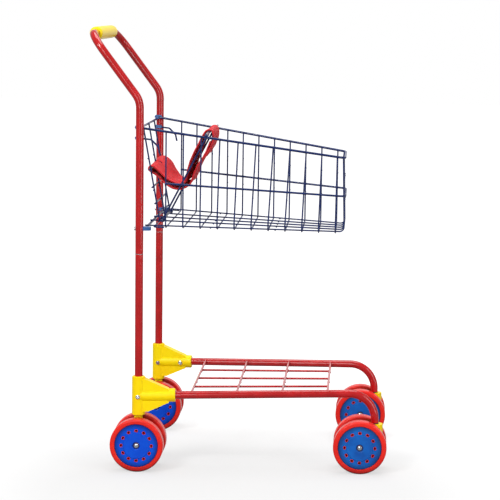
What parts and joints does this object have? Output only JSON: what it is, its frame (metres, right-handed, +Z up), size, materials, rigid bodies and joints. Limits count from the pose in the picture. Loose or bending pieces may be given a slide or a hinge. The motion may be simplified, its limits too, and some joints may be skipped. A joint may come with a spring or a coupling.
{
  "type": "toy shopping cart",
  "caption": "Child-size shopping cart with a tapered wire basket, folding doll seat with a fabric sling, wire rack, and twin wheels on swivel casters at the front.",
  "frame": {"origin": "on the floor, at the middle of the cart's overall length and width", "axes": "+X forward, from the handle to the front of the basket; +Z up; +Y to the cart's left"},
  "size_m": [0.401, 0.292, 0.58],
  "materials": {
    "frame_paint": "glossy red powder coat on thin steel tube",
    "wire_paint": "glossy navy blue dip coat on steel wire",
    "joint_plastic": "moulded yellow plastic, satin to glossy",
    "wheel_plastic": "moulded red plastic, smooth tread",
    "cap_plastic": "moulded royal blue plastic",
    "clip_plastic": "moulded dark blue plastic",
    "plug_plastic": "moulded black nylon",
    "chrome_steel": "bright zinc or chrome plate",
    "sling_fabric": "woven red polyester"
  },
  "bodies": {
    "root": {"handle_tube": "frame_paint", "handle_grip": "joint_plastic", "upright_left": "frame_paint", "upright_right": "frame_paint", "rear_joint_left": "joint_plastic", "rear_joint_right": "joint_plastic", "joint_screws": "chrome_steel", "joint_nuts": "chrome_steel", "chassis_tube_left": "frame_paint", "chassis_tube_right": "frame_paint", "rack_cross_wires": "frame_paint", "rack_long_wires": "frame_paint", "caster_plugs": "plug_plastic", "caster_stems": "chrome_steel", "rear_axle_left": "chrome_steel", "rear_axle_right": "chrome_steel", "rear_axle_caps_left": "chrome_steel", "rear_axle_caps_right": "chrome_steel", "basket_rim": "wire_paint", "basket_rail": "wire_paint", "side_wires_left": "wire_paint", "side_wires_right": "wire_paint", "floor_cross_wires": "wire_paint", "floor_long_wires": "wire_paint", "floor_rear_loop": "wire_paint", "front_wires": "wire_paint", "lower_bar": "wire_paint", "bar_clips": "clip_plastic", "end_clips": "clip_plastic", "clip_screws": "chrome_steel", "rim_hooks": "wire_paint", "gate_top_rod": "wire_paint", "gate_wires": "wire_paint", "gate_rungs": "wire_paint", "seat_hinge_rod": "wire_paint", "seat_sling": "sling_fabric"},
    "caster_left": {"caster_housing_left": "joint_plastic", "front_axle_left": "chrome_steel", "front_axle_caps_left": "chrome_steel"},
    "caster_right": {"caster_housing_right": "joint_plastic", "front_axle_right": "chrome_steel", "front_axle_caps_right": "chrome_steel"},
    "wheel_rear_left_outer": {"wheel_rear_left_outer": "wheel_plastic", "hub_cap_rear_left_outer": "cap_plastic"},
    "wheel_rear_left_inner": {"wheel_rear_left_inner": "wheel_plastic", "hub_cap_rear_left_inner": "cap_plastic"},
    "wheel_rear_right_inner": {"wheel_rear_right_inner": "wheel_plastic", "hub_cap_rear_right_inner": "cap_plastic"},
    "wheel_rear_right_outer": {"wheel_rear_right_outer": "wheel_plastic", "hub_cap_rear_right_outer": "cap_plastic"},
    "wheel_front_left_outer": {"wheel_front_left_outer": "wheel_plastic", "hub_cap_front_left_outer": "cap_plastic"},
    "wheel_front_left_inner": {"wheel_front_left_inner": "wheel_plastic", "hub_cap_front_left_inner": "cap_plastic"},
    "wheel_front_right_inner": {"wheel_front_right_inner": "wheel_plastic", "hub_cap_front_right_inner": "cap_plastic"},
    "wheel_front_right_outer": {"wheel_front_right_outer": "wheel_plastic", "hub_cap_front_right_outer": "cap_plastic"},
    "seat_back": {"seat_back": "wire_paint"}
  },
  "joints": [
    {"name": "caster_left_swivel", "type": "hinge", "parent": "root", "child": "caster_left", "pos_m": [0.18425, 0.1005, 0.057], "axis": [0, 0, 1], "continuous": true},
    {"name": "caster_right_swivel", "type": "hinge", "parent": "root", "child": "caster_right", "pos_m": [0.18425, -0.1005, 0.057], "axis": [0, 0, 1], "continuous": true},
    {"name": "wheel_rear_left_outer_spin", "type": "hinge", "parent": "root", "child": "wheel_rear_left_outer", "pos_m": [-0.12775, 0.138, 0.03525], "axis": [0, 1, 0], "continuous": true},
    {"name": "wheel_rear_left_inner_spin", "type": "hinge", "parent": "root", "child": "wheel_rear_left_inner", "pos_m": [-0.12775, 0.102, 0.03525], "axis": [0, 1, 0], "continuous": true},
    {"name": "wheel_rear_right_inner_spin", "type": "hinge", "parent": "root", "child": "wheel_rear_right_inner", "pos_m": [-0.12775, -0.102, 0.03525], "axis": [0, 1, 0], "continuous": true},
    {"name": "wheel_rear_right_outer_spin", "type": "hinge", "parent": "root", "child": "wheel_rear_right_outer", "pos_m": [-0.12775, -0.138, 0.03525], "axis": [0, 1, 0], "continuous": true},
    {"name": "wheel_front_left_outer_spin", "type": "hinge", "parent": "caster_left", "child": "wheel_front_left_outer", "pos_m": [0.16525, 0.1185, 0.03525], "axis": [0, 1, 0], "continuous": true},
    {"name": "wheel_front_left_inner_spin", "type": "hinge", "parent": "caster_left", "child": "wheel_front_left_inner", "pos_m": [0.16525, 0.0825, 0.03525], "axis": [0, 1, 0], "continuous": true},
    {"name": "wheel_front_right_inner_spin", "type": "hinge", "parent": "caster_right", "child": "wheel_front_right_inner", "pos_m": [0.16525, -0.0825, 0.03525], "axis": [0, 1, 0], "continuous": true},
    {"name": "wheel_front_right_outer_spin", "type": "hinge", "parent": "caster_right", "child": "wheel_front_right_outer", "pos_m": [0.16525, -0.1185, 0.03525], "axis": [0, 1, 0], "continuous": true},
    {"name": "seat_back_fold", "type": "hinge", "parent": "root", "child": "seat_back", "pos_m": [-0.10475, 0, 0.32379], "axis": [0, 1, 0], "range_deg": [-33, 0], "deforming": ["seat_sling"]}
  ]
}
